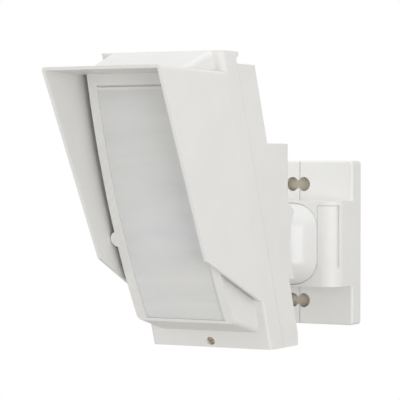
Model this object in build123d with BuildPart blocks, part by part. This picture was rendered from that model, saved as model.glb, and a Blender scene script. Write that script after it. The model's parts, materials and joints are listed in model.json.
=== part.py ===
from build123d import *
import os
from math import cos, radians, sin

os.makedirs("parts", exist_ok=True)

# A wall-mounted outdoor motion sensor: a hooded, leaning detector head on a ball bracket.
# Millimetres. X to the right, Y towards the wall, Z up. The origin is the middle of the
# wall plate's back face, so the wall is the plane Y = 0 and the sensor looks along -Y.

# --- Wall plate and hub -------------------------------------------------------------
PLATE_HALF_W = 43.0
PLATE_HALF_H = 58.5
PLATE_DEPTH = 14.0
PLATE_WALL = 3.0
PLATE_EDGE_R = 1.6
PLATE_CORNER_R = 2.5
SLOT_RISE = 83.5 / 2
SLOT_HOLE_R = 5.1
SLOT_HOLE_X = 4.45
SLOT_NECK = 5.0
GROOVE_X = 1.6
GROOVE_W = 0.7
GROOVE_DEPTH = 0.8
HUB_HALF_H = 30.0
HUB_FRONT = 42.0
HUB_CORNER_R = 12.0
WINDOW_HALF = 28.3
CHEEK_TOP = 27.0
CHEEK_BOTTOM = -16.5
CHEEK_OUTER_X = 40.9
CHEEK_GAP = 0.2
CHEEK_DEPTH_Y = -30.5
CHEEK_H = CHEEK_TOP - CHEEK_BOTTOM
CHEEK_SCREW_X = 36.0
CHEEK_SCREW_Z = 13.0
CHEEK_SCREW_R = 1.4
CHEEK_SCREW_GRIP = 4.0
CHEEK_SCREW_HEAD_T = 2.0
SCREW_END_GAP = 0.5
SIDE_WALL_FRONT = 34.0
PAD_THICK = 3.0
PAD_SET_BACK = 0.1
PAD_EDGE_GAP = 0.5
PAD_CORNER_R = 1.5
PATCH_DEPTH = 8.0
PATCH_MARGIN = 2.0
PAD_WINDOW_HALF = 14.0

# --- Ball, arm and their motion -----------------------------------------------------
BALL_Y = -31.0
BALL_R = 30.2
BALL_HALF_H = 28.6
BALL_CORNER_R = 17.0
BALL_WALL = 2.6
SOCKET_CLEARANCE = 0.3
NECK_R = 8.0
NECK_CLEARANCE = 0.6
NECK_SLOT_SPARE = 4.0
WIRE_OPENING_R = 9.0
TILT_MAX = 20.0
DRUM_R = 20.0
DRUM_HALF_W = 13.0
AXLE_R = 4.0
RUNNING_FIT = 0.05
AXLE_HALF = 26.0
WASHER_T = 1.5
WASHER_R = 9.0
WASHER_GAP = 0.1
AXLE_BOSS_R = 8.0
AXLE_CHAMFER = 0.6
DRUM_EDGE_R = 1.5
WIRE_BORE_R = 3.5
WIRE_TURN = 7.0
PAD_Y = -108.0
PAD_W = 29.0
PAD_H = 40.0
SHOULDER_T = 4.0
FLARE_Y = 68.0
FOOT_W = 25.0
FOOT_H = 36.0
FOOT_Z = 4.0
FOOT_R = 6.0
FOOT_TAPER = 2.0
PAD_R = 7.0
NUT_R = 11.0
NUT_T = 3.5
NECK_END_Y = 92.0
NUT_FRONT_Y = 118.7
PAD_T = 10.5

# --- Leaning head: slab front plane through SLAB_Y, SLAB_Z, leaning forward ---------
LEAN = radians(20.0)
SLAB_Y = -145.9
SLAB_Z = -64.9
HEAD_HALF_W = 44.2
WALL = 2.5
SEAM = -17.0
TRAY_BACK = -40.0
TRAY_TOP_Z = 119.5
CAP_TOP_Z = 127.0
HEEL_Z = -56.6
HEEL_Y = -106.0
LIP_BACK = -20.8
LIP_T = 2.2
CAP_CORNER_R = 4.0
FLANGE_EDGE_R = 0.4
FOOT_CORNER_R = 2.0
HEEL_H = -37.5
SEAL_T = 0.4
SEAL_STAND = 0.3
SEAL_INSET = 0.15
SCREW_R = 1.3
BUSH_R = 5.0
BUSH_S = 92.0
TRAY_BOSS_R = 3.6
TRAY_BOSS_L = 8.0
TRAY_EDGE_R = 1.0
BOSS_ROOT = 1.0
LOCK_BORE_GAP = 0.7
LOCK_BORE_L = 12.0
SEAL_W = 1.5
BUSH_FLANGE = 1.5
BUSH_FLANGE_T = 2.0
BUSH_BORE_R = 2.5
SCREW_HEAD_T = 1.6
POST_BASE_R = 3.2
SCREW_BITE = 6.0
KNOCKOUT_R = 5.0
KNOCKOUT_GROOVE = 0.6
KNOCKOUT_Y = 9.0
TRAY_SCREWS = [(x, s) for x in (-37.0, 37.0) for s in (48.0, 114.0)]

# --- Lens housing on the front cover (heights above the slab front plane) -----------
HOUSING_TOP = 203.9
HOUSING_BASE_HALF_W = 37.5
HOUSING_FRONT_HALF_W = 35.0
ARC_TOP_H = 33.0
FRONT_WALL = 1.1
ARC_MID = (37.5, 121.3)
SILL = (26.7, 30.0)
CHIN_EDGE_R = 3.4
CHIN_WALL = 1.2
HOUSING_CORNER_R = 3.5
CHIN_FOOT = 12.0
CHIN_PICK = 0.7
LENS_HALF_W = 29.0
LENS_TOP = 190.5
LENS_LOW = 32.0
LENS_T = 1.0
LENS_INSET = 0.15
LENS_LAP = 2.0
LENS_TOP_LAP = 3.7
RETAINER_T = 1.5
RETAINER_LOW = 1.0
RETAINER_RIM = (1.5, 3.5)
GAP_SLOT_S = 193.0
GAP_SLOT_H = 1.3
EAR_R = 5.2
EAR_X = 33.6
EAR_ROOT_X = 34.0
EAR_S = 90.7
EAR_BACK = 22.0
EAR_FRONT = 36.2

# --- Hood ---------------------------------------------------------------------------
HOOD_T = 2.2
HOOD_EDGE_R = 2.5
HOOD_TIP_Y = -288.9
HOOD_TIP_Z = 115.1
HOOD_TIP_HALF_W = 41.4
HOOD_CHIN_Y = -226.0
HOOD_CHIN_Z = -3.6
HOOD_CHIN_HALF_W = 39.4
HOOD_ROOT_TOP_Z = 113.9
HOOD_ROOT_LOW_Z = -33.8
HOOD_STEP_Z = -31.9
HOOD_BOSS_X = 39.9
HOOD_BOSS_R = 2.4
HOOD_BOSS_H = 7.0
HOOD_SCREW_R = 1.0
HOOD_SCREW_S = (50.0, 160.0)
HOOD_SCREW_END = 1.5
HOOD_SCREW_HEAD = 0.7
HOOD_SCREW_HEAD_T = 1.4
HOOD_INSIDE_DROP = 40.0
HOUSING_GAP = 0.3

# --- Back box behind the tray -------------------------------------------------------
BOX_HALF_W = 42.0
BOX_TOP_Z = 69.7
BOX_BOTTOM_Z = -20.3
BOX_KNEE_Z = 30.3
BOX_BACK_Y = -116.0
SADDLE_Y = -113.7
SADDLE_Z = 3.0
SADDLE_HORN_Y = -107.4
SADDLE_HORN_Z = 25.2
BOX_EDGE_R = 2.0

# --- Board and switches inside the head ---------------------------------------------
BOARD_T = 1.6
BOARD_BACK = -30.0
BOARD_FRONT = BOARD_BACK + BOARD_T
BOARD_HALF_W = 33.0
BOARD_LOW = 22.0
BOARD_HIGH = 168.0
BOARD_MID = (BOARD_LOW + BOARD_HIGH) / 2
BOARD_POST_X = 29.0
BOARD_POST_S = 132.0
BOARD_CORNER_R = 2.0
BOARD_BUSH_GAP = 2.0
LOCK_S = 4.4
EYE_R = 4.6
EYE_H = 4.0
EYE_WINDOW = (4.0, 3.0, 0.4)
EYE_STAND_W = 13.0
SMALL_CORNER_R = 1.5
EYE_RISE = 12.0
EYE_S = (92.0, 132.0)
SWITCH_COUNT = 3
SWITCH_PITCH = 5.0
SWITCH_TRAVEL = 2.0
LOCK_HEAD_R = 2.7
LOCK_RECESS = 4.0
LOCK_BOSS_W = 10.0
LOCK_BOSS_GAP = 0.5
LOCK_HEAD_T = 2.2
LOCK_REACH = 19.0
LOCK_SHANK_R = 1.6
LOCK_SEAT_GAP = 0.1
LOCK_HEAD_GAP = 0.3
LOCK_DOME_R = 0.7
LOCK_SLOT_W = 1.2
LOCK_SLOT_DEPTH = 1.4
LOCK_SLOT_TURN = 35.0
TERMINAL_X = 0.0
TERMINAL_S = 34.0
TERMINAL_COUNT = 6
TERMINAL_PITCH = 5.5
TERMINAL_H = 10.0
TERMINAL_W = 8.0
TERMINAL_WELL_R = 1.8
TERMINAL_WELL_DEPTH = 4.0
TERMINAL_SCREW_H = 2.5
TERMINAL_SLOT = (4.0, 0.6, 0.8)
LED_S = 152.0
SWITCH_X = -18.0
SWITCH_S = 112.0
TAMPER_BODY_H = 7.0
TAMPER_SPRING_L = 4.5
PLUNGER_TIP = -18.5
PLUNGER_R = 1.8
PLUNGER_X = 22.0
PLUNGER_S = 26.0
POST_GAP = 0.5
POST_R = 2.5
POST_H = 34.5
BLOCK_CORNER_R = 0.4
CAPACITOR_R = 4.0
CAPACITOR_H = 11.0
CAPACITOR_EDGE_R = 0.8
CAPACITORS = [(18.0, 66.0), (18.0, 78.0)]
LED_R = 2.5
LED_H = 8.0
LED_DOME_R = 2.2
SWITCH_BODY = (1.0, 9.0, 5.0)
SWITCH_SLOT = (2.4, 6.0, 2.0)
SLIDER_SIZE = (1.7, 3.2, 3.4)
SLIDER_LIFT = 3.3
SLIDER_CORNER_R = 0.3
TAMPER_BODY_W = 8.0
PLUNGER_EDGE_R = 0.8
BOARD_BLOCKS = {"relay": (-20, 66, 12, 18, 10), "processor": (18, 112, 12, 12, 1.8)}


def slab_y(s, h):
    """Y of a point s up the slab and h in front of its front plane."""
    return SLAB_Y - sin(LEAN) * s - cos(LEAN) * h


def slab_z(s, h):
    """Z of a point s up the slab and h in front of its front plane."""
    return SLAB_Z + cos(LEAN) * s - sin(LEAN) * h


def rise(z, h):
    """Distance up the slab at which the height h above it meets the level z."""
    return (z - SLAB_Z + sin(LEAN) * h) / cos(LEAN)


FORWARD = (0, -cos(LEAN), -sin(LEAN))
UPWARD = (0, -sin(LEAN), cos(LEAN))
# slab_side: local x is the height h, local y is the distance s up the slab
slab_side = Plane(origin=(0, SLAB_Y, SLAB_Z), x_dir=FORWARD, z_dir=(-1, 0, 0))
# slab_face: local x is X, local y is s, normal is forward
slab_face = Plane(origin=(0, SLAB_Y, SLAB_Z), x_dir=(1, 0, 0), z_dir=FORWARD)
# slab_level: local x is X, local y is -h, normal runs up the slab
slab_level = Plane(origin=(0, SLAB_Y, SLAB_Z), x_dir=(1, 0, 0), z_dir=UPWARD)
forward_axis = Axis(origin=(0, 0, 0), direction=FORWARD)
front_upright = Plane(origin=(0, 0, 0), x_dir=(1, 0, 0), z_dir=(0, -1, 0))


def save(piece, name):
    """Label a finished piece and write its STEP file."""
    piece.part.label = name
    export_step(piece.part, f"parts/{name}.step")


# === Bracket ========================================================================

def hub_outline():
    """Top view of the hub: as wide as the plate, with round front corners."""
    flat = PLATE_HALF_W - HUB_CORNER_R
    shoulder = -HUB_FRONT + HUB_CORNER_R
    with BuildLine() as outline:
        Line((PLATE_HALF_W, -PLATE_WALL), (PLATE_HALF_W, shoulder))
        RadiusArc((PLATE_HALF_W, shoulder), (flat, -HUB_FRONT), HUB_CORNER_R)
        Line((flat, -HUB_FRONT), (-flat, -HUB_FRONT))
        RadiusArc((-flat, -HUB_FRONT), (-PLATE_HALF_W, shoulder), HUB_CORNER_R)
        Line((-PLATE_HALF_W, shoulder), (-PLATE_HALF_W, -PLATE_WALL))
        Line((-PLATE_HALF_W, -PLATE_WALL), (PLATE_HALF_W, -PLATE_WALL))
    make_face(outline.edges())


def ball_profile(grow):
    """Half section of the barrel-shaped ball about the upright axis, grown by a clearance."""
    straight = BALL_HALF_H - BALL_CORNER_R
    radius = BALL_R + grow
    top = BALL_HALF_H + grow
    flat = BALL_R - BALL_CORNER_R
    with BuildLine() as outline:
        Line((0, top), (flat, top))
        RadiusArc((flat, top), (radius, straight), BALL_CORNER_R + grow)
        Line((radius, straight), (radius, -straight))
        RadiusArc((radius, -straight), (flat, -top), BALL_CORNER_R + grow)
        Line((flat, -top), (0, -top))
        Line((0, -top), (0, top))
    make_face(outline.edges())


def cheek_seats(outer, depth):
    """Seat of a given depth on each side, from the window's edge out to a given X."""
    width = outer - WINDOW_HALF
    centre = WINDOW_HALF + width / 2
    with Locations((centre, -HUB_FRONT), (-centre, -HUB_FRONT)):
        Rectangle(width, 2 * depth)


ball_middle = Plane(origin=(0, BALL_Y, 0), x_dir=(1, 0, 0), z_dir=(0, -1, 0))
ball_axis = Axis(origin=(0, BALL_Y, 0), direction=(0, 0, 1))

with BuildPart() as socket:
    with BuildSketch(ball_middle):
        ball_profile(SOCKET_CLEARANCE)
    revolve(axis=ball_axis)

with BuildPart() as wall_plate:
    with BuildSketch(Plane.XZ):
        RectangleRounded(2 * PLATE_HALF_W, 2 * PLATE_HALF_H, PLATE_CORNER_R)
    extrude(amount=PLATE_DEPTH)
    fillet(wall_plate.faces().sort_by(Axis.Y)[0].edges(), PLATE_EDGE_R)
    with BuildSketch(Plane.XZ):
        Rectangle(2 * (PLATE_HALF_W - PLATE_WALL), 2 * (PLATE_HALF_H - PLATE_WALL))
    extrude(amount=PLATE_DEPTH - PLATE_WALL, mode=Mode.SUBTRACT)
    with BuildSketch(Plane.XY.offset(-HUB_HALF_H)):
        hub_outline()
    extrude(amount=2 * HUB_HALF_H)
    # cavity behind the ball cup keeps the hub a moulding of even thickness
    with BuildSketch(Plane.XZ):
        Rectangle(2 * (PLATE_HALF_W - PLATE_WALL), 2 * HUB_HALF_H - 2 * PLATE_WALL)
        Rectangle(2 * (BALL_R + PLATE_WALL), 2 * HUB_HALF_H, mode=Mode.SUBTRACT)
    extrude(amount=PLATE_DEPTH, mode=Mode.SUBTRACT)
    # seats of the two cheek covers, open to the front corners
    with BuildSketch(Plane.XY.offset(CHEEK_BOTTOM)):
        cheek_seats(CHEEK_OUTER_X + CHEEK_GAP, HUB_FRONT + CHEEK_DEPTH_Y)
        cheek_seats(PLATE_HALF_W + 1, HUB_FRONT - SIDE_WALL_FRONT)
    extrude(amount=CHEEK_H, mode=Mode.SUBTRACT)
    add(socket.part, mode=Mode.SUBTRACT)
    # figure-eight screw slots
    with BuildSketch(Plane.XZ):
        with Locations((0, SLOT_RISE), (0, -SLOT_RISE)):
            Rectangle(2 * SLOT_HOLE_X, SLOT_NECK)
        with GridLocations(2 * SLOT_HOLE_X, 2 * SLOT_RISE, 2, 2):
            Circle(SLOT_HOLE_R)
    extrude(amount=PLATE_DEPTH, mode=Mode.SUBTRACT)
    # holes for the cheek covers' screws
    with BuildSketch(Plane.XZ):
        with GridLocations(2 * CHEEK_SCREW_X, 2 * CHEEK_SCREW_Z, 2, 2):
            Circle(CHEEK_SCREW_R)
    extrude(amount=-CHEEK_DEPTH_Y, mode=Mode.SUBTRACT)
    # fine upright groove that splits the plate's front face
    with BuildSketch(front_upright.offset(PLATE_DEPTH - GROOVE_DEPTH)):
        with Locations((GROOVE_X, 0)):
            Rectangle(GROOVE_W, 2 * PLATE_HALF_H)
        Rectangle(2 * PLATE_HALF_W, 2 * HUB_HALF_H, mode=Mode.SUBTRACT)
    extrude(amount=GROOVE_DEPTH, mode=Mode.SUBTRACT)
save(wall_plate, "wall_plate")

pad_half_w = PLATE_HALF_W - PLATE_WALL - PAD_EDGE_GAP
pad_half_h = PLATE_HALF_H - PLATE_WALL - PAD_EDGE_GAP
patch_half_w = SLOT_HOLE_X + SLOT_HOLE_R + PATCH_MARGIN
patch_half_h = SLOT_HOLE_R + PATCH_MARGIN

with BuildPart() as wall_gasket:
    with BuildSketch(Plane.XZ.offset(PAD_SET_BACK)):
        RectangleRounded(2 * pad_half_w, 2 * pad_half_h, PAD_CORNER_R)
        Rectangle(2 * PAD_WINDOW_HALF, 2 * HUB_HALF_H, mode=Mode.SUBTRACT)
    extrude(amount=PAD_THICK - PAD_SET_BACK)
    # raised patches close the screw slots from behind, and the screws pierce them
    with BuildSketch(Plane.XZ.offset(PAD_SET_BACK)):
        with Locations((0, SLOT_RISE), (0, -SLOT_RISE)):
            RectangleRounded(2 * patch_half_w, 2 * patch_half_h, PAD_CORNER_R)
    extrude(amount=PATCH_DEPTH - PAD_SET_BACK)
save(wall_gasket, "wall_gasket")


def cheek_cover(side, name):
    """Curved cover that keeps the ball in its socket, on the right (1) or left (-1)."""
    inner = side * (WINDOW_HALF + CHEEK_GAP)
    outer = side * CHEEK_OUTER_X
    reach = 2 * (HUB_FRONT + CHEEK_DEPTH_Y) - 2 * CHEEK_GAP
    with BuildPart() as cover:
        with BuildSketch(Plane.XY.offset(CHEEK_BOTTOM)):
            hub_outline()
            with Locations(((inner + outer) / 2, -HUB_FRONT)):
                Rectangle(abs(outer - inner), reach, mode=Mode.INTERSECT)
        extrude(amount=CHEEK_H - CHEEK_GAP)
        add(socket.part, mode=Mode.SUBTRACT)
        with BuildSketch(front_upright.offset(-CHEEK_DEPTH_Y)):
            with Locations((side * CHEEK_SCREW_X, CHEEK_SCREW_Z), (side * CHEEK_SCREW_X, -CHEEK_SCREW_Z)):
                Circle(CHEEK_SCREW_R)
        extrude(amount=CHEEK_SCREW_GRIP, mode=Mode.SUBTRACT)
    save(cover, name)


cheek_cover(1, "cheek_cover_right")
cheek_cover(-1, "cheek_cover_left")

with BuildPart() as cheek_screws:
    with BuildSketch(front_upright.offset(PLATE_DEPTH)):
        with GridLocations(2 * CHEEK_SCREW_X, 2 * CHEEK_SCREW_Z, 2, 2):
            Circle(CHEEK_SCREW_R)
    extrude(amount=-CHEEK_DEPTH_Y - PLATE_DEPTH + CHEEK_SCREW_GRIP - SCREW_END_GAP)
    with BuildSketch(front_upright.offset(PLATE_DEPTH)):
        with GridLocations(2 * CHEEK_SCREW_X, 2 * CHEEK_SCREW_Z, 2, 2):
            Circle(2 * CHEEK_SCREW_R)
    extrude(amount=-CHEEK_SCREW_HEAD_T)
save(cheek_screws, "cheek_screws")

# === Ball, axle and arm =============================================================

def neck_slot_profile():
    """Side view of the sector that the neck sweeps as it tilts."""
    reach = 2 * BALL_R
    half = NECK_R + NECK_CLEARANCE
    drop = sin(radians(TILT_MAX)) * reach
    run = cos(radians(TILT_MAX)) * reach
    with BuildLine() as outline:
        Polyline((BALL_Y, half), (BALL_Y - reach, half), (BALL_Y - run, -drop - half - NECK_SLOT_SPARE),
                 (BALL_Y, -half - NECK_SLOT_SPARE / 2),
                 close=True)
    make_face(outline.edges())


def ball_half(side, name):
    """Half of the hollow ball, split on the upright middle plane."""
    with BuildPart() as half:
        with BuildSketch(ball_middle):
            ball_profile(0)
        revolve(axis=ball_axis)
        with BuildSketch(ball_middle):
            ball_profile(-BALL_WALL)
        revolve(axis=ball_axis, mode=Mode.SUBTRACT)
        # bearing boss for the tilt axle
        with BuildSketch(Plane.YZ.offset(side * (DRUM_HALF_W + WASHER_T + WASHER_GAP))):
            with Locations((BALL_Y, 0)):
                Circle(AXLE_BOSS_R)
        extrude(amount=side * (BALL_R - DRUM_HALF_W - WASHER_T - BALL_WALL))
        with BuildSketch(Plane.YZ):
            with Locations((BALL_Y, 0)):
                Circle(AXLE_R)
        extrude(amount=side * AXLE_HALF, mode=Mode.SUBTRACT)
        with BuildSketch(Plane.YZ):
            neck_slot_profile()
        extrude(amount=NECK_R + NECK_CLEARANCE, both=True, mode=Mode.SUBTRACT)
        # wire opening at the back
        with BuildSketch(Plane.XZ):
            Circle(WIRE_OPENING_R)
        extrude(amount=-BALL_Y, mode=Mode.SUBTRACT)
        split(bisect_by=Plane.YZ, keep=Keep.TOP if side > 0 else Keep.BOTTOM)
    save(half, name)


ball_half(1, "ball_half_right")
ball_half(-1, "ball_half_left")

with BuildPart() as tilt_axle:
    with BuildSketch(Plane.YZ):
        with Locations((BALL_Y, 0)):
            Circle(AXLE_R)
    extrude(amount=AXLE_HALF, both=True)
    chamfer(tilt_axle.edges().filter_by(GeomType.CIRCLE), AXLE_CHAMFER)
save(tilt_axle, "tilt_axle")

with BuildPart() as friction_washers:
    for side in (1, -1):
        with BuildSketch(Plane.YZ.offset(side * (DRUM_HALF_W + WASHER_GAP))):
            with Locations((BALL_Y, 0)):
                Circle(WASHER_R)
                Circle(AXLE_R + 2 * WASHER_GAP, mode=Mode.SUBTRACT)
        extrude(amount=side * (WASHER_T - WASHER_GAP))
save(friction_washers, "friction_washers")

with BuildPart() as arm:
    with BuildSketch(Plane.YZ):
        with Locations((BALL_Y, 0)):
            Circle(DRUM_R)
    extrude(amount=DRUM_HALF_W, both=True)
    fillet(arm.edges().filter_by(GeomType.CIRCLE), DRUM_EDGE_R)
    with BuildSketch(front_upright.offset(-BALL_Y)):
        Circle(NECK_R)
    extrude(amount=NECK_END_Y)
    # the neck flares into a foot that bears on the back box
    with BuildSketch(front_upright.offset(FLARE_Y)):
        Circle(NECK_R)
    with BuildSketch(front_upright.offset(-PAD_Y - SHOULDER_T)):
        with Locations((0, FOOT_Z)):
            RectangleRounded(FOOT_W - 2 * FOOT_TAPER, FOOT_H - 3 * FOOT_TAPER, FOOT_R)
    loft()
    with BuildSketch(front_upright.offset(-PAD_Y - SHOULDER_T)):
        with Locations((0, FOOT_Z)):
            RectangleRounded(FOOT_W, FOOT_H, FOOT_R)
    extrude(amount=SHOULDER_T)
    with BuildSketch(Plane.YZ):
        with Locations((BALL_Y, 0)):
            Circle(AXLE_R + RUNNING_FIT)
    extrude(amount=2 * DRUM_HALF_W, both=True, mode=Mode.SUBTRACT)
    # the wire passes over the axle and out along the neck
    with BuildSketch(front_upright.offset(-BALL_Y + WIRE_TURN)):
        Circle(WIRE_BORE_R)
    extrude(amount=NECK_END_Y, mode=Mode.SUBTRACT)
    with BuildSketch(Plane.YZ):
        with BuildLine():
            Polyline((BALL_Y + DRUM_R, WIRE_TURN), (BALL_Y - WIRE_TURN, WIRE_TURN),
                     (BALL_Y - WIRE_TURN, 0), (BALL_Y - 2 * WIRE_TURN, 0),
                     (BALL_Y - 2 * WIRE_TURN, DRUM_R), (BALL_Y + DRUM_R, DRUM_R), close=True)
        make_face()
    extrude(amount=WIRE_BORE_R, both=True, mode=Mode.SUBTRACT)
save(arm, "arm")

with BuildPart() as arm_nut:
    with BuildSketch(front_upright.offset(NUT_FRONT_Y)):
        RegularPolygon(NUT_R, 6)
        Circle(NECK_R, mode=Mode.SUBTRACT)
    extrude(amount=NUT_T)
save(arm_nut, "arm_nut")

# === Back box and base tray =========================================================

def tray_back_y(z, gap):
    """Y of the plane a gap behind the tray's leaning back face, at the level z."""
    return SLAB_Y - (TRAY_BACK - gap + sin(LEAN) * (z - SLAB_Z)) / cos(LEAN)


def back_box_outline():
    """Side view of the wedge between the leaning tray and its saddle-shaped back face."""
    saddle_low = 2 * SADDLE_Z - SADDLE_HORN_Z
    tray_high = (tray_back_y(BOX_TOP_Z, 0), BOX_TOP_Z)
    tray_low = (tray_back_y(BOX_BOTTOM_Z, 0), BOX_BOTTOM_Z)
    with BuildLine() as outline:
        Line(tray_high, (BOX_BACK_Y, BOX_TOP_Z))
        Line((BOX_BACK_Y, BOX_TOP_Z), (BOX_BACK_Y, BOX_KNEE_Z))
        Line((BOX_BACK_Y, BOX_KNEE_Z), (SADDLE_HORN_Y, SADDLE_HORN_Z))
        ThreePointArc((SADDLE_HORN_Y, SADDLE_HORN_Z), (SADDLE_Y, SADDLE_Z), (SADDLE_HORN_Y, saddle_low))
        Line((SADDLE_HORN_Y, saddle_low), (SADDLE_HORN_Y, BOX_BOTTOM_Z))
        Line((SADDLE_HORN_Y, BOX_BOTTOM_Z), tray_low)
        Line(tray_low, tray_high)
    make_face(outline.edges())


def back_box_hollow():
    """Side view of the wedge's hollow, which is open to the tray."""
    low = BOX_BOTTOM_Z + WALL
    high = BOX_TOP_Z - WALL
    back = BOX_BACK_Y - WALL
    with BuildLine() as outline:
        Polyline((tray_back_y(high, 0), high), (back, high), (back, low), (tray_back_y(low, 0), low),
                 close=True)
    make_face(outline.edges())


with BuildPart() as back_box:
    with BuildSketch(Plane.YZ):
        back_box_outline()
    extrude(amount=BOX_HALF_W, both=True)
    fillet(back_box.edges().filter_by(Axis.Z).group_by(Axis.Z)[-1], BOX_EDGE_R)
    with BuildSketch(Plane.YZ):
        back_box_hollow()
    extrude(amount=BOX_HALF_W - WALL, both=True, mode=Mode.SUBTRACT)
    with BuildSketch(front_upright.offset(-PAD_Y)):
        with Locations((0, FOOT_Z)):
            RectangleRounded(PAD_W, PAD_H, PAD_R)
    extrude(amount=PAD_T)
    # bosses for the screws from the tray
    with BuildSketch(slab_face.offset(TRAY_BACK)):
        with Locations(*TRAY_SCREWS):
            Circle(TRAY_BOSS_R)
    extrude(amount=-TRAY_BOSS_L)
    with BuildSketch(slab_face.offset(TRAY_BACK)):
        with Locations(*TRAY_SCREWS):
            Circle(SCREW_R)
    extrude(amount=-TRAY_BOSS_L, mode=Mode.SUBTRACT)
    with BuildSketch(front_upright.offset(-PAD_Y)):
        Circle(NECK_R)
    extrude(amount=PAD_T, mode=Mode.SUBTRACT)
save(back_box, "back_box")


def head_outline(front, top_z):
    """Side view of the leaning head from its back plane to a given height in front of the slab plane."""
    with BuildLine() as outline:
        Polyline((front, rise(SLAB_Z, front)), (front, rise(top_z, front)),
                 (TRAY_BACK, rise(top_z, TRAY_BACK)),
                 (TRAY_BACK, rise(HEEL_Z, TRAY_BACK)), (HEEL_H, rise(SLAB_Z, HEEL_H)), close=True)
    make_face(outline.edges())


with BuildPart() as base_tray:
    with BuildSketch(slab_side):
        head_outline(SEAM - SEAL_T, TRAY_TOP_Z)
    extrude(amount=HEAD_HALF_W, both=True)
    fillet(base_tray.edges().filter_by(Axis.X).sort_by(Axis.Y)[-3:], TRAY_EDGE_R)
    with BuildSketch(slab_side):
        head_outline(SEAM - SEAL_T, TRAY_TOP_Z)
        offset(amount=-WALL, kind=Kind.INTERSECTION, mode=Mode.REPLACE)
        with Locations((SEAM, (rise(TRAY_TOP_Z, SEAM) + rise(SLAB_Z, SEAM)) / 2 + 1)):
            Rectangle(4 * WALL, rise(TRAY_TOP_Z, SEAM) - rise(SLAB_Z, SEAM) - 2 * WALL - 3)
    extrude(amount=HEAD_HALF_W - WALL, both=True, mode=Mode.SUBTRACT)
    # boss for the cover's lock screw
    with BuildSketch(slab_face.offset(TRAY_BACK + BOSS_ROOT)):
        with Locations((0, LOCK_S)):
            Rectangle(LOCK_BOSS_W, LOCK_BOSS_W)
    extrude(amount=SEAM - SEAL_T - TRAY_BACK - BOSS_ROOT)
    with BuildSketch(slab_face.offset(SEAM)):
        with Locations((0, LOCK_S)):
            Circle(LOCK_SHANK_R + LOCK_BORE_GAP)
    extrude(amount=-LOCK_BORE_L, mode=Mode.SUBTRACT)
    # posts for the main board
    with BuildSketch(slab_face.offset(TRAY_BACK + BOSS_ROOT)):
        with Locations((0, BOARD_MID)):
            with GridLocations(2 * BOARD_POST_X, BOARD_POST_S, 2, 2):
                Circle(POST_BASE_R)
    extrude(amount=BOARD_BACK - TRAY_BACK - BOSS_ROOT)
    with BuildSketch(slab_face.offset(BOARD_BACK)):
        with Locations((0, BOARD_MID)):
            with GridLocations(2 * BOARD_POST_X, BOARD_POST_S, 2, 2):
                Circle(SCREW_R)
    extrude(amount=-SCREW_BITE, mode=Mode.SUBTRACT)
    # wiring hole with its rubber bush
    with BuildSketch(slab_face.offset(TRAY_BACK)):
        with Locations((0, BUSH_S)):
            Circle(BUSH_R)
    extrude(amount=WALL, mode=Mode.SUBTRACT)
    with BuildSketch(slab_face.offset(TRAY_BACK)):
        with Locations(*TRAY_SCREWS):
            Circle(SCREW_R)
    extrude(amount=2 * WALL, mode=Mode.SUBTRACT)
    # cable knock-out in the heel, left as a thin disc
    with BuildSketch(Plane.XY.offset(SLAB_Z)):
        with Locations((0, HEEL_Y - KNOCKOUT_Y)):
            Circle(KNOCKOUT_R)
            Circle(KNOCKOUT_R - KNOCKOUT_GROOVE, mode=Mode.SUBTRACT)
    extrude(amount=WALL / 2, mode=Mode.SUBTRACT)
save(base_tray, "base_tray")

with BuildPart() as tray_screws:
    with BuildSketch(slab_face.offset(TRAY_BACK + WALL)):
        with Locations(*TRAY_SCREWS):
            Circle(2 * SCREW_R)
    extrude(amount=SCREW_HEAD_T)
    with BuildSketch(slab_face.offset(TRAY_BACK + WALL)):
        with Locations(*TRAY_SCREWS):
            Circle(SCREW_R)
    extrude(amount=-WALL - TRAY_BOSS_L + 2 * SCREW_END_GAP)
save(tray_screws, "tray_screws")

with BuildPart() as wiring_bush:
    with BuildSketch(slab_face.offset(TRAY_BACK)):
        with Locations((0, BUSH_S)):
            Circle(BUSH_R)
    extrude(amount=WALL)
    with BuildSketch(slab_face.offset(TRAY_BACK + WALL)):
        with Locations((0, BUSH_S)):
            Circle(BUSH_R + BUSH_FLANGE)
    extrude(amount=BUSH_FLANGE_T)
    with BuildSketch(slab_face.offset(TRAY_BACK)):
        with Locations((0, BUSH_S)):
            Circle(BUSH_BORE_R)
    extrude(amount=WALL + BUSH_FLANGE_T, mode=Mode.SUBTRACT)
save(wiring_bush, "wiring_bush")

with BuildPart() as seam_seal:
    with BuildSketch(slab_side):
        with BuildLine():
            Polyline((SEAM - SEAL_T, rise(SLAB_Z, SEAM - SEAL_T) + SEAL_INSET),
                     (SEAM - SEAL_T, rise(TRAY_TOP_Z, SEAM - SEAL_T) - SEAL_INSET),
                     (SEAM - SEAL_T + SEAL_STAND, rise(TRAY_TOP_Z, SEAM - SEAL_T) - SEAL_INSET),
                     (SEAM - SEAL_T + SEAL_STAND, rise(SLAB_Z, SEAM - SEAL_T) + SEAL_INSET), close=True)
        make_face()
    extrude(amount=HEAD_HALF_W - SEAL_INSET, both=True)
    inner_low = rise(SLAB_Z, SEAM) + WALL + SEAL_W
    inner_high = rise(TRAY_TOP_Z, SEAM) - WALL - SEAL_W
    with BuildSketch(slab_side):
        with BuildLine():
            Polyline((SEAM - SEAL_T, inner_low), (SEAM - SEAL_T, inner_high),
                     (SEAM, inner_high), (SEAM, inner_low), close=True)
        make_face()
    extrude(amount=HEAD_HALF_W - WALL, both=True, mode=Mode.SUBTRACT)
save(seam_seal, "seam_seal")

# === Front cover, lens and hood =====================================================

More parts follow.
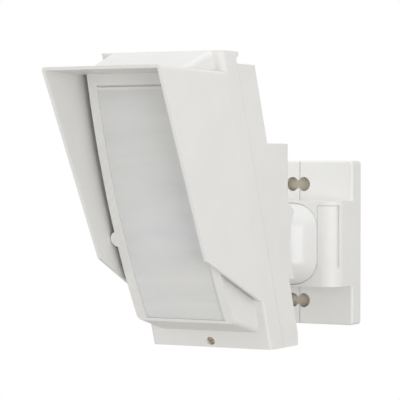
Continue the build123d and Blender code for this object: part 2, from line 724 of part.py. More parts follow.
def housing_outline(front_inset):
    """Side view of the lens housing: bowed front, square top and slanted chin."""
    front_top = (ARC_TOP_H - front_inset, HOUSING_TOP)
    front_low = (SILL[0] - front_inset, SILL[1])
    # inside the flange the top follows the cap's level top, just below it
    back_top = (SEAM / 2, rise(CAP_TOP_Z, SEAM / 2) - HOUSING_GAP)
    # the chin's slope runs on past its foot into the flange
    root = (SEAM / 2, CHIN_FOOT + (SILL[1] - CHIN_FOOT) * SEAM / 2 / SILL[0])
    with BuildLine() as outline:
        Line(back_top, (0, HOUSING_TOP))
        Line((0, HOUSING_TOP), front_top)
        ThreePointArc(front_top, (ARC_MID[0] - front_inset, ARC_MID[1]), front_low)
        Line(front_low, root)
        Line(root, back_top)
    make_face(outline.edges())


def hollow_limits():
    """Side view of the space above the chin's wall and below the housing's top wall, open to the front."""
    foot = CHIN_FOOT + 1.5 * CHIN_WALL
    slope = (SILL[1] + CHIN_WALL - foot) / SILL[0]
    reach = 2 * ARC_MID[0]
    top = HOUSING_TOP - WALL
    with BuildLine() as outline:
        Polyline((SEAM / 2, foot), (0, foot), (reach, foot + slope * reach), (reach, top), (SEAM / 2, top),
                 close=True)
    make_face(outline.edges(), mode=Mode.INTERSECT)


def flange_block(low_z, high_z, corner_r):
    """Stretch of the cover's flange between two levels, with round front corners."""
    with BuildPart() as block:
        with BuildSketch(slab_side):
            with BuildLine() as outline:
                Polyline((0, rise(low_z, 0)), (0, rise(high_z, 0)), (SEAM, rise(high_z, SEAM)),
                         (SEAM, rise(low_z, SEAM)), close=True)
            make_face(outline.edges())
        extrude(amount=HEAD_HALF_W, both=True)
        for side in (1, -1):
            middle_s = (rise(low_z, 0) + rise(high_z, 0)) / 2
            corner = (side * HEAD_HALF_W, slab_y(middle_s, 0), slab_z(middle_s, 0))
            fillet(block.edges().sort_by_distance(corner)[0], corner_r)
    return block


with BuildPart() as housing:
    with BuildSketch(slab_side):
        housing_outline(0)
    extrude(amount=HOUSING_BASE_HALF_W, both=True)
    with BuildSketch(slab_level):
        with BuildLine():
            Polyline((-HOUSING_BASE_HALF_W, -SEAM / 2), (-HOUSING_BASE_HALF_W, 0),
                     (-HOUSING_FRONT_HALF_W, -ARC_MID[0]), (HOUSING_FRONT_HALF_W, -ARC_MID[0]),
                     (HOUSING_BASE_HALF_W, 0), (HOUSING_BASE_HALF_W, -SEAM / 2), close=True)
        make_face()
    extrude(amount=HOUSING_TOP, mode=Mode.INTERSECT)
    for side in (1, -1):
        chin_edge = (side * (HOUSING_BASE_HALF_W + HOUSING_FRONT_HALF_W) / 2,
                     slab_y(SILL[1] * CHIN_PICK, SILL[0] / 2), slab_z(SILL[1] * CHIN_PICK, SILL[0] / 2))
        fillet(housing.edges().sort_by_distance(chin_edge)[0], CHIN_EDGE_R)
        top_edge = (side * (HOUSING_BASE_HALF_W + HOUSING_FRONT_HALF_W) / 2,
                    slab_y(HOUSING_TOP, ARC_TOP_H / 2), slab_z(HOUSING_TOP, ARC_TOP_H / 2))
        fillet(housing.edges().sort_by_distance(top_edge)[0], HOUSING_CORNER_R)

with BuildPart() as front_cover:
    # the flange is square where the hood stands on it, and round at the cap and the foot
    add(flange_block(HOOD_ROOT_TOP_Z, CAP_TOP_Z, CAP_CORNER_R).part)
    add(flange_block(HOOD_STEP_Z, HOOD_ROOT_TOP_Z, FLANGE_EDGE_R).part)
    add(flange_block(SLAB_Z, HOOD_STEP_Z, FOOT_CORNER_R).part)
    # hooked lip along the top rear edge
    with BuildSketch(slab_side):
        with BuildLine():
            Polyline((SEAM, rise(CAP_TOP_Z, SEAM)), (LIP_BACK, rise(CAP_TOP_Z, LIP_BACK)),
                     (LIP_BACK, rise(CAP_TOP_Z - LIP_T, LIP_BACK)),
                     (SEAM, rise(CAP_TOP_Z - 2 * LIP_T, SEAM)),
                     close=True)
        make_face()
    extrude(amount=HEAD_HALF_W, both=True)
    add(housing.part)
    # hollow of the flange, which stops below the closed cap at the back
    with BuildSketch(slab_side):
        with BuildLine():
            Polyline((2 * SEAM, rise(SLAB_Z + WALL, 2 * SEAM)), (-WALL, rise(SLAB_Z + WALL, -WALL)),
                     (-WALL, rise(CAP_TOP_Z - WALL, -WALL)),
                     (SEAM + WALL, rise(CAP_TOP_Z - WALL, SEAM + WALL)),
                     (SEAM + WALL, rise(TRAY_TOP_Z - WALL, SEAM + WALL)),
                     (2 * SEAM, rise(TRAY_TOP_Z - WALL, 2 * SEAM)), close=True)
        make_face()
    extrude(amount=HEAD_HALF_W - WALL, both=True, mode=Mode.SUBTRACT)
    with BuildSketch(slab_side):
        housing_outline(FRONT_WALL)
        hollow_limits()
    extrude(amount=HOUSING_FRONT_HALF_W - WALL, both=True, mode=Mode.SUBTRACT)
    # lens window
    with BuildSketch(slab_face.offset(SILL[0] / 2)):
        with Locations((0, (LENS_TOP + LENS_LOW) / 2)):
            Rectangle(2 * LENS_HALF_W, LENS_TOP - LENS_LOW)
    extrude(amount=2 * ARC_TOP_H, mode=Mode.SUBTRACT)
    # lens release slot above the window
    with BuildSketch(slab_face.offset(SILL[0])):
        with Locations((0, GAP_SLOT_S)):
            Rectangle(2 * LENS_HALF_W, GAP_SLOT_H)
    extrude(amount=ARC_TOP_H, mode=Mode.SUBTRACT)
    # half-round ears on the housing's sides
    with BuildSketch(slab_face.offset(EAR_BACK)):
        with Locations((EAR_X, EAR_S), (-EAR_X, EAR_S)):
            Circle(EAR_R)
        Rectangle(2 * EAR_ROOT_X, 2 * HOUSING_TOP, mode=Mode.SUBTRACT)
    extrude(amount=EAR_FRONT - EAR_BACK)
    # post that works the tamper switch
    with BuildSketch(slab_face.offset(PLUNGER_TIP + POST_GAP)):
        with Locations((PLUNGER_X, PLUNGER_S)):
            Circle(POST_R)
    extrude(amount=POST_H)
    # holes for the hood's screws
    with BuildSketch(slab_face):
        with Locations(*[(x, s) for x in (-HOOD_BOSS_X, HOOD_BOSS_X) for s in HOOD_SCREW_S]):
            Circle(HOOD_SCREW_R)
    extrude(amount=2 * SEAM, mode=Mode.SUBTRACT)
    # boss and counterbored hole of the lock screw
    with BuildSketch(slab_face.offset(-WALL)):
        with Locations((0, LOCK_S)):
            Rectangle(LOCK_BOSS_W, LOCK_BOSS_W)
    extrude(amount=SEAM + WALL + LOCK_BOSS_GAP)
    with BuildSketch(slab_face):
        with Locations((0, LOCK_S)):
            Circle(LOCK_HEAD_R + LOCK_HEAD_GAP)
    extrude(amount=-LOCK_RECESS, mode=Mode.SUBTRACT)
    with BuildSketch(slab_face):
        with Locations((0, LOCK_S)):
            Circle(LOCK_SHANK_R + RUNNING_FIT)
    extrude(amount=2 * SEAM, mode=Mode.SUBTRACT)
save(front_cover, "front_cover")


def lens_outline(inset, thickness):
    """Side view of a bowed sheet that follows the housing's front arc."""
    outer = inset
    inner = inset + thickness
    with BuildLine() as outline:
        top_out = (ARC_TOP_H - outer, HOUSING_TOP)
        low_out = (SILL[0] - outer, SILL[1])
        low_in = (SILL[0] - inner, SILL[1])
        top_in = (ARC_TOP_H - inner, HOUSING_TOP)
        ThreePointArc(top_out, (ARC_MID[0] - outer, ARC_MID[1]), low_out)
        Line(low_out, low_in)
        ThreePointArc(low_in, (ARC_MID[0] - inner, ARC_MID[1]), top_in)
        Line(top_in, top_out)
    make_face(outline.edges())


def bowed_sheet(name, inset, thickness, half_w, low, high, opening=None):
    """A sheet bowed like the housing's front, from low to high, with an optional opening."""
    with BuildPart() as sheet:
        with BuildSketch(slab_side):
            lens_outline(inset, thickness)
        extrude(amount=half_w, both=True)
        with BuildSketch(slab_face):
            with Locations((0, (low + high) / 2)):
                Rectangle(2 * half_w, high - low)
                if opening:
                    Rectangle(2 * opening[0], high - low - 2 * opening[1], mode=Mode.SUBTRACT)
        extrude(amount=2 * ARC_TOP_H, mode=Mode.INTERSECT)
    save(sheet, name)


bowed_sheet("lens_sheet", FRONT_WALL + LENS_INSET, LENS_T, LENS_HALF_W + LENS_LAP, LENS_LOW,
            LENS_TOP + LENS_TOP_LAP)
bowed_sheet("lens_retainer", FRONT_WALL + LENS_INSET + LENS_T, RETAINER_T, LENS_HALF_W + LENS_LAP,
            LENS_LOW + RETAINER_LOW, LENS_TOP + LENS_TOP_LAP,
            opening=(LENS_HALF_W - RETAINER_RIM[0], RETAINER_RIM[1]))


def hood_block(inset, drop, edge_r):
    """Block from the hood's root to its slanting mouth, inset at the sides and top, dropped at the foot."""
    root_low = rise(HOOD_ROOT_LOW_Z, 0) - drop
    root_top = rise(HOOD_ROOT_TOP_Z, 0) - inset
    root_half = HEAD_HALF_W - inset
    foot = Vector(0, HOOD_CHIN_Y, HOOD_CHIN_Z)
    tip = Vector(0, HOOD_TIP_Y, HOOD_TIP_Z)
    mouth = Plane(origin=foot, x_dir=(1, 0, 0), z_dir=Vector(1, 0, 0).cross(tip - foot))
    reach = (tip - foot).length
    flare = (HOOD_TIP_HALF_W - HOOD_CHIN_HALF_W) / reach
    foot_half = HOOD_CHIN_HALF_W - inset - flare * drop
    tip_half = HOOD_TIP_HALF_W - inset
    with BuildPart() as block:
        with BuildSketch(slab_face):
            with BuildLine():
                Polyline((-root_half, root_low), (root_half, root_low), (root_half, root_top),
                         (-root_half, root_top), close=True)
            make_face()
        with BuildSketch(mouth):
            with BuildLine():
                Polyline((-foot_half, -drop), (foot_half, -drop), (tip_half, reach - inset),
                         (-tip_half, reach - inset), close=True)
            make_face()
        loft(ruled=True)
        if edge_r:
            for side in (1, -1):
                root = Vector(side * root_half, slab_y(root_top, 0), slab_z(root_top, 0))
                roof_edge = (root + Vector(side * tip_half, HOOD_TIP_Y, HOOD_TIP_Z)) / 2
                fillet(block.edges().sort_by_distance(roof_edge)[0], edge_r)
    return block


hood_outside = hood_block(0, 0, HOOD_EDGE_R)
hood_inside = hood_block(HOOD_T, HOOD_INSIDE_DROP, 0)

with BuildPart() as hood:
    add(hood_outside.part)
    add(hood_inside.part, mode=Mode.SUBTRACT)
    # bosses for the hood's screws, between its sides and the lens housing
    with BuildSketch(slab_face):
        with Locations(*[(x, s) for x in (-HOOD_BOSS_X, HOOD_BOSS_X) for s in HOOD_SCREW_S]):
            Circle(HOOD_BOSS_R)
            Circle(HOOD_SCREW_R, mode=Mode.SUBTRACT)
    extrude(amount=HOOD_BOSS_H)
    # the housing's top pokes through the hood's roof
    with BuildSketch(slab_level):
        with BuildLine():
            Polyline((-HOUSING_BASE_HALF_W - HOUSING_GAP, -SEAM), (-HOUSING_BASE_HALF_W - HOUSING_GAP, 0),
                     (-HOUSING_FRONT_HALF_W - HOUSING_GAP, -ARC_TOP_H - HOUSING_GAP),
                     (HOUSING_FRONT_HALF_W + HOUSING_GAP, -ARC_TOP_H - HOUSING_GAP),
                     (HOUSING_BASE_HALF_W + HOUSING_GAP, 0), (HOUSING_BASE_HALF_W + HOUSING_GAP, -SEAM),
                     close=True)
        make_face()
    extrude(amount=HOUSING_TOP + HOUSING_GAP, mode=Mode.SUBTRACT)
    # level step where the hood's lower edge crosses the flange
    with BuildSketch(Plane.XY.offset(HOOD_STEP_Z)):
        with Locations((0, SLAB_Y)):
            Rectangle(3 * HEAD_HALF_W, 2 * HEAD_HALF_W)
    extrude(amount=-HEAD_HALF_W, mode=Mode.SUBTRACT)
save(hood, "hood")

# === Screws of the cover ============================================================

with BuildPart() as hood_screws:
    for x in (-HOOD_BOSS_X, HOOD_BOSS_X):
        for s in HOOD_SCREW_S:
            with BuildSketch(slab_face.offset(-WALL)):
                with Locations((x, s)):
                    Circle(HOOD_SCREW_R)
            extrude(amount=WALL + HOOD_BOSS_H - HOOD_SCREW_END)
            with BuildSketch(slab_face.offset(-WALL)):
                with Locations((x, s)):
                    Circle(HOOD_SCREW_R + HOOD_SCREW_HEAD)
            extrude(amount=-HOOD_SCREW_HEAD_T)
save(hood_screws, "hood_screws")

with BuildPart() as lock_screw:
    with BuildSketch(slab_face.offset(-LOCK_RECESS + LOCK_SEAT_GAP)):
        with Locations((0, LOCK_S)):
            Circle(LOCK_HEAD_R)
    extrude(amount=LOCK_HEAD_T)
    fillet(lock_screw.edges().group_by(forward_axis)[-1], LOCK_DOME_R)
    with BuildSketch(slab_face.offset(-LOCK_RECESS + LOCK_SEAT_GAP + LOCK_HEAD_T)):
        with Locations((0, LOCK_S)):
            with Locations(Rotation(0, 0, LOCK_SLOT_TURN)):
                Rectangle(3 * LOCK_HEAD_R, LOCK_SLOT_W)
    extrude(amount=-LOCK_SLOT_DEPTH, mode=Mode.SUBTRACT)
    with BuildSketch(slab_face.offset(-LOCK_RECESS + LOCK_SEAT_GAP)):
        with Locations((0, LOCK_S)):
            Circle(LOCK_SHANK_R)
    extrude(amount=-LOCK_REACH)
save(lock_screw, "lock_screw")

# === Electronics ====================================================================

with BuildPart() as main_board:
    with BuildSketch(slab_face.offset(BOARD_BACK)):
        with Locations((0, BOARD_MID)):
            RectangleRounded(2 * BOARD_HALF_W, BOARD_HIGH - BOARD_LOW, BOARD_CORNER_R)
            with GridLocations(2 * BOARD_POST_X, BOARD_POST_S, 2, 2):
                Circle(SCREW_R, mode=Mode.SUBTRACT)
        with Locations((0, BUSH_S)):
            Circle(BUSH_R + BOARD_BUSH_GAP, mode=Mode.SUBTRACT)
    extrude(amount=BOARD_T)
save(main_board, "main_board")

with BuildPart() as board_screws:
    for x in (-BOARD_POST_X, BOARD_POST_X):
        for s in (BOARD_MID - BOARD_POST_S / 2, BOARD_MID + BOARD_POST_S / 2):
            with BuildSketch(slab_face.offset(BOARD_FRONT)):
                with Locations((x, s)):
                    Circle(2 * SCREW_R)
            extrude(amount=SCREW_HEAD_T)
            with BuildSketch(slab_face.offset(BOARD_FRONT)):
                with Locations((x, s)):
                    Circle(SCREW_R)
            extrude(amount=-SCREW_BITE)
save(board_screws, "board_screws")

with BuildPart() as heat_eyes:
    for s in EYE_S:
        with BuildSketch(slab_face.offset(BOARD_FRONT + EYE_RISE - EYE_H)):
            with Locations((0, s)):
                Circle(EYE_R)
        extrude(amount=EYE_H)
        with BuildSketch(slab_face.offset(BOARD_FRONT + EYE_RISE)):
            with Locations((0, s)):
                Rectangle(EYE_WINDOW[0], EYE_WINDOW[1])
        extrude(amount=-EYE_WINDOW[2], mode=Mode.SUBTRACT)
save(heat_eyes, "heat_eyes")

with BuildPart() as eye_stands:
    for s in EYE_S:
        with BuildSketch(slab_face.offset(BOARD_FRONT)):
            with Locations((0, s)):
                RectangleRounded(EYE_STAND_W, EYE_STAND_W, SMALL_CORNER_R)
        extrude(amount=EYE_RISE - EYE_H)
save(eye_stands, "eye_stands")

with BuildPart() as terminal_block:
    with BuildSketch(slab_face.offset(BOARD_FRONT)):
        with Locations((TERMINAL_X, TERMINAL_S)):
            Rectangle(TERMINAL_COUNT * TERMINAL_PITCH, TERMINAL_W)
    extrude(amount=TERMINAL_H)
    with BuildSketch(slab_face.offset(BOARD_FRONT + TERMINAL_H)):
        with Locations((TERMINAL_X, TERMINAL_S)):
            with GridLocations(TERMINAL_PITCH, 0, TERMINAL_COUNT, 1):
                Circle(TERMINAL_WELL_R)
    extrude(amount=-TERMINAL_WELL_DEPTH, mode=Mode.SUBTRACT)
save(terminal_block, "terminal_block")

with BuildPart() as terminal_screws:
    with BuildSketch(slab_face.offset(BOARD_FRONT + TERMINAL_H - TERMINAL_WELL_DEPTH)):
        with Locations((TERMINAL_X, TERMINAL_S)):
            with GridLocations(TERMINAL_PITCH, 0, TERMINAL_COUNT, 1):
                Circle(TERMINAL_WELL_R)
    extrude(amount=TERMINAL_SCREW_H)
    with BuildSketch(slab_face.offset(BOARD_FRONT + TERMINAL_H - TERMINAL_WELL_DEPTH + TERMINAL_SCREW_H)):
        with Locations((TERMINAL_X, TERMINAL_S)):
            with GridLocations(TERMINAL_PITCH, 0, TERMINAL_COUNT, 1):
                Rectangle(TERMINAL_SLOT[0], TERMINAL_SLOT[1])
    extrude(amount=-TERMINAL_SLOT[2], mode=Mode.SUBTRACT)
save(terminal_screws, "terminal_screws")

for name, (x, s, width, height, depth) in BOARD_BLOCKS.items():
    with BuildPart() as component:
        with BuildSketch(slab_face.offset(BOARD_FRONT)):
            with Locations((x, s)):
                RectangleRounded(width, height, BLOCK_CORNER_R)
        extrude(amount=depth)
    save(component, name)

with BuildPart() as capacitors:
    with BuildSketch(slab_face.offset(BOARD_FRONT)):
        with Locations(*CAPACITORS):
            Circle(CAPACITOR_R)
    extrude(amount=CAPACITOR_H)
    fillet(capacitors.edges().group_by(forward_axis)[-1], CAPACITOR_EDGE_R)
save(capacitors, "capacitors")

with BuildPart() as status_led:
    with BuildSketch(slab_face.offset(BOARD_FRONT)):
        with Locations((0, LED_S)):
            Circle(LED_R)
    extrude(amount=LED_H)
    fillet(status_led.edges().group_by(forward_axis)[-1], LED_DOME_R)
save(status_led, "status_led")

with BuildPart() as switch_bank:
    with BuildSketch(slab_face.offset(BOARD_FRONT)):
        with Locations((SWITCH_X, SWITCH_S)):
            Rectangle(SWITCH_COUNT * SWITCH_PITCH + SWITCH_BODY[0], SWITCH_BODY[1])
    extrude(amount=SWITCH_BODY[2])
    with BuildSketch(slab_face.offset(BOARD_FRONT + SWITCH_BODY[2])):
        with Locations((SWITCH_X, SWITCH_S)):
            with GridLocations(SWITCH_PITCH, 0, SWITCH_COUNT, 1):
                Rectangle(SWITCH_SLOT[0], SWITCH_SLOT[1])
    extrude(amount=-SWITCH_SLOT[2], mode=Mode.SUBTRACT)
save(switch_bank, "switch_bank")

for number in range(SWITCH_COUNT):
    x = SWITCH_X + (number - (SWITCH_COUNT - 1) / 2) * SWITCH_PITCH
    with BuildPart() as switch_slider:
        with BuildSketch(slab_face.offset(BOARD_FRONT + SLIDER_LIFT)):
            with Locations((x, SWITCH_S - SWITCH_TRAVEL / 2)):
                RectangleRounded(SLIDER_SIZE[0], SLIDER_SIZE[1], SLIDER_CORNER_R)
        extrude(amount=SLIDER_SIZE[2])
    save(switch_slider, f"switch_slider_{number + 1}")

with BuildPart() as tamper_switch:
    with BuildSketch(slab_face.offset(BOARD_FRONT)):
        with Locations((PLUNGER_X, PLUNGER_S)):
            Rectangle(TAMPER_BODY_W, TAMPER_BODY_W)
            Circle(PLUNGER_R + RUNNING_FIT, mode=Mode.SUBTRACT)
    extrude(amount=TAMPER_BODY_H)
save(tamper_switch, "tamper_switch")

with BuildPart() as tamper_plunger:
    with BuildSketch(slab_face.offset(BOARD_FRONT + TAMPER_SPRING_L)):
        with Locations((PLUNGER_X, PLUNGER_S)):
            Circle(PLUNGER_R)
    extrude(amount=PLUNGER_TIP - BOARD_FRONT - TAMPER_SPRING_L)
    fillet(tamper_plunger.edges().group_by(forward_axis)[-1], PLUNGER_EDGE_R)
save(tamper_plunger, "tamper_plunger")
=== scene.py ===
"""Looks of a hooded outdoor motion sensor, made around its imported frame. Metres, +Z up, wall at Y = 0."""

import json
import math

import bmesh
import bpy
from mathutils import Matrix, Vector


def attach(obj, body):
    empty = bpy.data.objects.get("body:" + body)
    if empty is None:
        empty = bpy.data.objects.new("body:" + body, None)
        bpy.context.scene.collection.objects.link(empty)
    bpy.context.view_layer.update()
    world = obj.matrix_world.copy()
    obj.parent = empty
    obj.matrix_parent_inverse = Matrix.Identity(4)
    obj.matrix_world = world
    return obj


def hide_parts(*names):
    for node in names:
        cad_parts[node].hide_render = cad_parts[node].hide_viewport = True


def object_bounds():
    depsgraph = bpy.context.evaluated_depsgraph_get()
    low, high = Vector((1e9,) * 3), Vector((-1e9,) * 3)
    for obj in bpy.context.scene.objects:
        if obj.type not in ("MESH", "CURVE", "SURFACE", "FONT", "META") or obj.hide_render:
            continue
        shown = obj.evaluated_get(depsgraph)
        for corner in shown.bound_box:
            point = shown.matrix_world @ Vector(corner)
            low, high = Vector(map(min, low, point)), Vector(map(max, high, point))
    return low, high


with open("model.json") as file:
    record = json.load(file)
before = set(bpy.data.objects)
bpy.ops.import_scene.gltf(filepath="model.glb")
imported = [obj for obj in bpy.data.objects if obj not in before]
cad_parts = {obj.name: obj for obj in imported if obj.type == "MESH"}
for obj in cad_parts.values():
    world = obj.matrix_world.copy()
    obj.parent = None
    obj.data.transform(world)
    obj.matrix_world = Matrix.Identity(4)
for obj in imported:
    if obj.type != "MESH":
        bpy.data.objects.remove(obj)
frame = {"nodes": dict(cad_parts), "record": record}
cad_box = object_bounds()

MM = 0.001

# --- Camera and stage ----------------------------------------------------------------
CAMERA_SPOT = Vector((0.6176, -1.3044, 0.0577))
CAMERA_AZIMUTH = math.radians(28.4)
CAMERA_PITCH = math.radians(-1.1)
CAMERA_LENS = 178.7
SENSOR_WIDTH = 36.0
CLIP_NEAR, CLIP_FAR = 0.05, 100.0
WORLD_SEEN, WORLD_CAST = 1.0, 0.66
FLOOR_DROP = 0.30
FLOOR_RADIUS = 1.85
FLOOR_TONE = (0.60, 0.585, 0.56)
FLOOR_SIDES = 96
MOTTLE_SIZE = 400


def new_object(name, data):
    """Link an object that holds the given data to the scene."""
    thing = bpy.data.objects.new(name, data)
    bpy.context.scene.collection.objects.link(thing)
    return thing


def aim(thing, target):
    """Turn a light or camera so that it looks at a point."""
    away = Vector(target) - thing.location
    thing.rotation_euler = away.to_track_quat("-Z", "Y").to_euler()


def make_camera():
    """A long lens, level with the sensor and turned round to its right side."""
    lens = bpy.data.cameras.new("camera")
    lens.sensor_width = SENSOR_WIDTH
    lens.lens = CAMERA_LENS
    lens.clip_start, lens.clip_end = CLIP_NEAR, CLIP_FAR
    camera = new_object("camera", lens)
    camera.location = CAMERA_SPOT
    ahead = Vector((
        -math.sin(CAMERA_AZIMUTH) * math.cos(CAMERA_PITCH),
        math.cos(CAMERA_AZIMUTH) * math.cos(CAMERA_PITCH),
        math.sin(CAMERA_PITCH),
    ))
    aim(camera, CAMERA_SPOT + ahead)
    bpy.context.scene.camera = camera


def make_light(name, spot, target, size, power):
    """A square soft box at a spot, turned to a target."""
    lamp = bpy.data.lights.new(name, "AREA")
    lamp.shape = "SQUARE"
    lamp.size = size
    lamp.energy = power
    light = new_object(name, lamp)
    light.location = spot
    aim(light, target)


def make_world():
    """White surroundings, brighter to look at than as a light on the object."""
    world = bpy.data.worlds.new("studio")
    bpy.context.scene.world = world
    world.use_nodes = True
    nodes, links = world.node_tree.nodes, world.node_tree.links
    background = nodes["Background"]
    background.inputs["Color"].default_value = (1, 1, 1, 1)
    strength = nodes.new("ShaderNodeMapRange")
    strength.inputs["To Min"].default_value = WORLD_CAST
    strength.inputs["To Max"].default_value = WORLD_SEEN
    links.new(nodes.new("ShaderNodeLightPath").outputs["Is Camera Ray"], strength.inputs["Value"])
    links.new(strength.outputs["Result"], background.inputs["Strength"])


# --- Materials (sizes and depths of their features in millimetres) ---------------------

NOISE_LOW, NOISE_HIGH = 0.3, 0.7


class Recipe:
    """A material under construction, with short calls for its nodes and links."""

    def __init__(self, name):
        self.material = bpy.data.materials.new(name)
        self.material.use_nodes = True
        self.nodes = self.material.node_tree.nodes
        self.links = self.material.node_tree.links
        self.shader = self.nodes["Principled BSDF"]
        self.place = self.nodes.new("ShaderNodeTexCoord").outputs["Object"]

    def set(self, **values):
        """Set uniform values on the shader's own sockets; underscores stand for spaces."""
        for name, value in values.items():
            self.shader.inputs[name.replace("_", " ")].default_value = value

    def add(self, kind, **values):
        """A node with its settings and unlinked socket values."""
        node = self.nodes.new(kind)
        for name, value in values.items():
            if hasattr(node, name):
                setattr(node, name, value)
            else:
                node.inputs[name.replace("_", " ")].default_value = value
        return node

    def noise(self, feature, detail=3.0, roughness=0.55, stretch=None):
        """A noise value whose features are about the given size."""
        node = self.add("ShaderNodeTexNoise", Scale=1 / (feature * MM), Detail=detail, Roughness=roughness)
        source = self.place
        if stretch:
            mapping = self.add("ShaderNodeMapping")
            mapping.inputs["Scale"].default_value = stretch
            self.links.new(source, mapping.inputs["Vector"])
            source = mapping.outputs["Vector"]
        self.links.new(source, node.inputs["Vector"])
        return node.outputs["Fac"]

    def spread(self, value, low=0.0, high=1.0):
        """Spread the usual range of a noise's values from low to high."""
        limits = {"From_Min": NOISE_LOW, "From_Max": NOISE_HIGH, "To_Min": low, "To_Max": high}
        node = self.add("ShaderNodeMapRange", **limits)
        self.links.new(value, node.inputs["Value"])
        return node.outputs["Result"]

    def mixed(self, value, first, second):
        """A colour between two, by a value from 0 to 1. Either may be an output."""
        node = self.nodes.new("ShaderNodeMix")
        node.data_type = "RGBA"
        self.links.new(value, node.inputs["Factor"])
        for socket, colour in (("A", first), ("B", second)):
            target = [i for i in node.inputs if i.name == socket and i.type == "RGBA"][0]
            if isinstance(colour, bpy.types.NodeSocket):
                self.links.new(colour, target)
            else:
                target.default_value = (*colour, 1)
        return [o for o in node.outputs if o.type == "RGBA"][0]

    def feed(self, value, socket):
        """Link a varying value to one of the shader's sockets."""
        self.links.new(value, self.shader.inputs[socket])

    def bump(self, value, depth):
        """Let a value stand out by a depth."""
        node = self.add("ShaderNodeBump", Strength=1.0, Distance=depth * MM)
        self.links.new(value, node.inputs["Height"])
        previous = self.shader.inputs["Normal"].links
        if previous:
            self.links.new(previous[0].from_socket, node.inputs["Normal"])
        self.feed(node.outputs["Normal"], "Normal")


def shade(colour, factor):
    """A lighter or darker colour."""
    return tuple(channel * factor for channel in colour)


PLASTIC_IOR = 1.5
FLOW_SIZE, SHEEN_SIZE, GRAIN_SIZE, WAVE_SIZE = 34, 6.0, 0.45, 9.0
SHEEN_SPREAD = 0.05
WAVE_DEPTH = 2.5
COAT_ROUGHNESS = 0.12


def moulded_plastic(name, colour, roughness, depth=0.012, coat=0.0, variation=0.02):
    """Injection-moulded plastic: fine spark-eroded grain, a broad flow mottle and uneven gloss."""
    recipe = Recipe(name)
    dark, light = shade(colour, 1 - variation), shade(colour, 1 + variation / 2)
    flow = recipe.spread(recipe.noise(FLOW_SIZE, detail=2.0))
    recipe.feed(recipe.mixed(flow, dark, light), "Base Color")
    sheen = recipe.noise(SHEEN_SIZE)
    recipe.feed(recipe.spread(sheen, roughness - SHEEN_SPREAD, roughness + SHEEN_SPREAD), "Roughness")
    recipe.bump(recipe.noise(GRAIN_SIZE, detail=4.0), depth)
    recipe.bump(recipe.noise(WAVE_SIZE, detail=1.0), depth * WAVE_DEPTH)
    recipe.set(Coat_Weight=coat, Coat_Roughness=COAT_ROUGHNESS, IOR=PLASTIC_IOR)
    return recipe.material


FILM_WARM, FILM_COOL = (0.715, 0.715, 0.705), (0.67, 0.705, 0.73)
FILM_DARK, FILM_LIGHT = shade(FILM_WARM, 0.92), shade(FILM_WARM, 1.05)
PATCH_SIZE, BAND_SIZE, RIPPLE_SIZE, RIB_SIZE = 42, 16, 12.0, 0.5
RIPPLE_DEPTH, RIB_DEPTH = 0.05, 0.01


def lens_film(name):
    """Milky film, with faint level bands from the facets on its back, and bluish patches."""
    recipe = Recipe(name)
    patches = recipe.noise(PATCH_SIZE, detail=2.0, stretch=(0.7, 0.7, 1.3))
    tint = recipe.mixed(recipe.spread(patches), FILM_WARM, FILM_COOL)
    bands = recipe.noise(BAND_SIZE, detail=2.0, stretch=(0.25, 0.25, 1.6))
    pale = recipe.mixed(recipe.spread(bands), FILM_DARK, FILM_LIGHT)
    half = recipe.add("ShaderNodeValue")
    half.outputs[0].default_value = 0.5
    recipe.feed(recipe.mixed(half.outputs[0], tint, pale), "Base Color")
    recipe.bump(recipe.noise(RIPPLE_SIZE, detail=1.0), RIPPLE_DEPTH)
    recipe.bump(recipe.noise(RIB_SIZE, detail=1.0, stretch=(0.1, 0.1, 1.0)), RIB_DEPTH)
    recipe.set(Roughness=0.36, IOR=PLASTIC_IOR)
    return recipe.material


STREAK_SIZE, STREAK_DEPTH, SMEAR_SIZE = 0.9, 0.02, 1.5


def metal(name, colour, roughness):
    """Plated metal with fine turning or brushing marks."""
    recipe = Recipe(name)
    streaks = recipe.noise(STREAK_SIZE, stretch=(1.0, 1.0, 6.0))
    recipe.feed(recipe.mixed(recipe.spread(streaks), shade(colour, 0.85), colour), "Base Color")
    recipe.feed(recipe.spread(recipe.noise(SMEAR_SIZE), roughness - 0.06, roughness + 0.08), "Roughness")
    recipe.bump(streaks, STREAK_DEPTH)
    recipe.set(Metallic=1.0)
    return recipe.material


PORE_SIZE, PORE_DEPTH = 0.9, 0.25


def foam(name, colour):
    """Foam or rubber; its pores are painted darker than the skin between them, as painted shade in the
    pits.
    """
    recipe = Recipe(name)
    pores = recipe.noise(PORE_SIZE, detail=6.0, roughness=0.7)
    # the pores' darker colour is painted shade in the pits, not a darker material
    painted_pore_shade, skin = shade(colour, 0.6), shade(colour, 1.15)
    recipe.feed(recipe.mixed(recipe.spread(pores), painted_pore_shade, skin), "Base Color")
    recipe.bump(pores, PORE_DEPTH)
    recipe.set(Roughness=0.92)
    return recipe.material


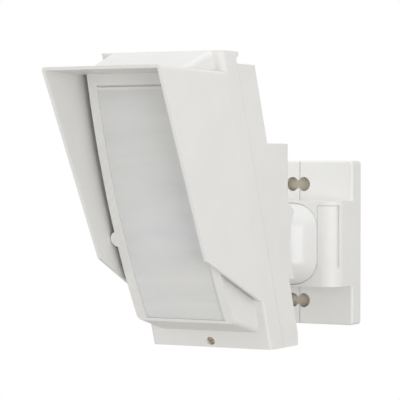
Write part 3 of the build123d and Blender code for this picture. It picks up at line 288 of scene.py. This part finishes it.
WHITE = (0.78, 0.777, 0.762)
MATERIALS = {
    "housing_plastic": moulded_plastic("housing_plastic", WHITE, 0.46),
    "ball_plastic": moulded_plastic("ball_plastic", (0.76, 0.76, 0.75), 0.4, depth=0.004, coat=0.3),
    "arm_plastic": moulded_plastic("arm_plastic", WHITE, 0.42),
    "lens_film": lens_film("lens_film"),
    # the grey-brown foam behind the wall plate's slots is partly the pads' own colour and partly painted
    # shade seen through the slots
    "grey_foam": foam("grey_foam", (0.68, 0.62, 0.52)),
    "seal_rubber": foam("seal_rubber", (0.70, 0.70, 0.68)),
    "black_rubber": foam("black_rubber", (0.03, 0.03, 0.03)),
    "zinc_steel": metal("zinc_steel", (0.62, 0.62, 0.60), 0.3),
    "brass_screw": metal("brass_screw", (0.62, 0.54, 0.36), 0.32),
    "bright_can": metal("bright_can", (0.74, 0.72, 0.68), 0.2),
    "circuit_board": moulded_plastic("circuit_board", (0.04, 0.20, 0.08), 0.35, variation=0.1),
    "black_plastic": moulded_plastic("black_plastic", (0.03, 0.03, 0.03), 0.45),
    "green_plastic": moulded_plastic("green_plastic", (0.08, 0.32, 0.13), 0.4),
    "blue_plastic": moulded_plastic("blue_plastic", (0.06, 0.14, 0.40), 0.4),
    "white_plastic": moulded_plastic("white_plastic", WHITE, 0.4),
    "red_led": moulded_plastic("red_led", (0.55, 0.03, 0.02), 0.15, depth=0.0, coat=0.6),
}
slot_of = {part["node"]: part["material_slot"] for part in frame["record"]["subparts"]}
body_of = {node: body for body, nodes in frame["record"]["behaviour"]["bodies"].items() for node in nodes}

for node, thing in frame["nodes"].items():
    if not thing.material_slots:
        thing.data.materials.append(MATERIALS[slot_of[node]])
    for slot in thing.material_slots:
        slot.material = MATERIALS[slot_of[node]]

# --- Pieces that stand for CAD nodes, with softer edges --------------------------------

SHARP = math.radians(28)
FLAT = math.radians(1.0)
WELD = 0.002 * MM
ROUND_SEGMENTS = 3
# least sizes in widths of the round: an edge's length, a face's breadth beside it, a narrow face's area
LEAST_LENGTH, LEAST_BREADTH, LEAST_AREA = 5, 2.5, 60


def broad_enough(edge, width):
    """Whether an edge and the faces beside it are large enough to take a round of the given width."""
    if len(edge.link_faces) != 2 or edge.calc_face_angle(0) < SHARP:
        return False
    length = edge.calc_length()
    if length < LEAST_LENGTH * width:
        return False
    enough = min(LEAST_BREADTH * width * length, LEAST_AREA * width * width)
    return all(face.calc_area() >= enough for face in edge.link_faces)


def soften(node, width):
    """Replace a CAD node by a copy of the same size with its long edges rounded."""
    solid = bmesh.new()
    solid.from_mesh(frame["nodes"][node].data)
    bmesh.ops.remove_doubles(solid, verts=solid.verts, dist=WELD)
    bmesh.ops.dissolve_limit(solid, angle_limit=FLAT, verts=solid.verts, edges=solid.edges)
    chosen = [edge for edge in solid.edges if broad_enough(edge, width * MM)]
    bmesh.ops.bevel(
        solid, geom=chosen, offset=width * MM, offset_type="OFFSET", segments=ROUND_SEGMENTS,
        profile=0.5, affect="EDGES", clamp_overlap=True, miter_outer="SHARP", miter_inner="SHARP",
    )
    for face in solid.faces:
        face.smooth = True
    for edge in solid.edges:
        edge.smooth = len(edge.link_faces) == 2 and edge.calc_face_angle(0) < SHARP
    mesh = bpy.data.meshes.new(node + "_soft")
    solid.to_mesh(mesh)
    solid.free()
    mesh.materials.append(MATERIALS[slot_of[node]])
    piece = new_object(node + "_soft", mesh)
    weights = piece.modifiers.new("even_shading", "WEIGHTED_NORMAL")
    weights.keep_sharp = True
    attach(piece, body_of[node])
    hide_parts(node)


# widths of the rounds, in millimetres
SOFT_EDGES = {
    "hood": 0.5, "front_cover": 0.35, "base_tray": 0.5, "wall_plate": 0.5, "cheek_cover_right": 0.4,
    "cheek_cover_left": 0.4, "back_box": 0.6, "arm": 0.6, "lock_screw": 0.2,
}
for node, width in SOFT_EDGES.items():
    soften(node, width)

# --- Stage ---------------------------------------------------------------------------

make_camera()
make_world()
low, high = cad_box
middle = (low + high) / 2
# each soft box: its place from the object's middle, its size in metres and its power in watts
LIGHTS = {
    "top_light": ((-0.3, -0.6, 2.0), 1.8, 18),
    "front_light": ((1.2, -2.6, -0.1), 1.6, 7),
    "left_light": ((-1.5, -2.3, 0.5), 1.4, 8),
    "fill_light": ((2.3, -1.7, -0.35), 1.6, 37),
    "side_light": ((2.4, -0.5, 1.3), 1.2, 4),
}
for name, (offset, size, power) in LIGHTS.items():
    make_light(name, middle + Vector(offset), middle, size, power)


def make_floor(level):
    """A plain pale disc that the sensor stands clear above."""
    disc = bmesh.new()
    bmesh.ops.create_circle(disc, cap_ends=True, radius=FLOOR_RADIUS, segments=FLOOR_SIDES)
    mesh = bpy.data.meshes.new("floor")
    disc.to_mesh(mesh)
    disc.free()
    floor = new_object("floor", mesh)
    floor.location = (middle.x, middle.y, level)
    pale = Recipe("pale_floor")
    mottle = pale.spread(pale.noise(MOTTLE_SIZE, detail=2.0))
    pale.feed(pale.mixed(mottle, shade(FLOOR_TONE, 0.98), shade(FLOOR_TONE, 1.02)), "Base Color")
    pale.set(Roughness=0.9)
    mesh.materials.append(pale.material)


make_floor(low.z - FLOOR_DROP)
bpy.context.scene.view_settings.view_transform = "Standard"
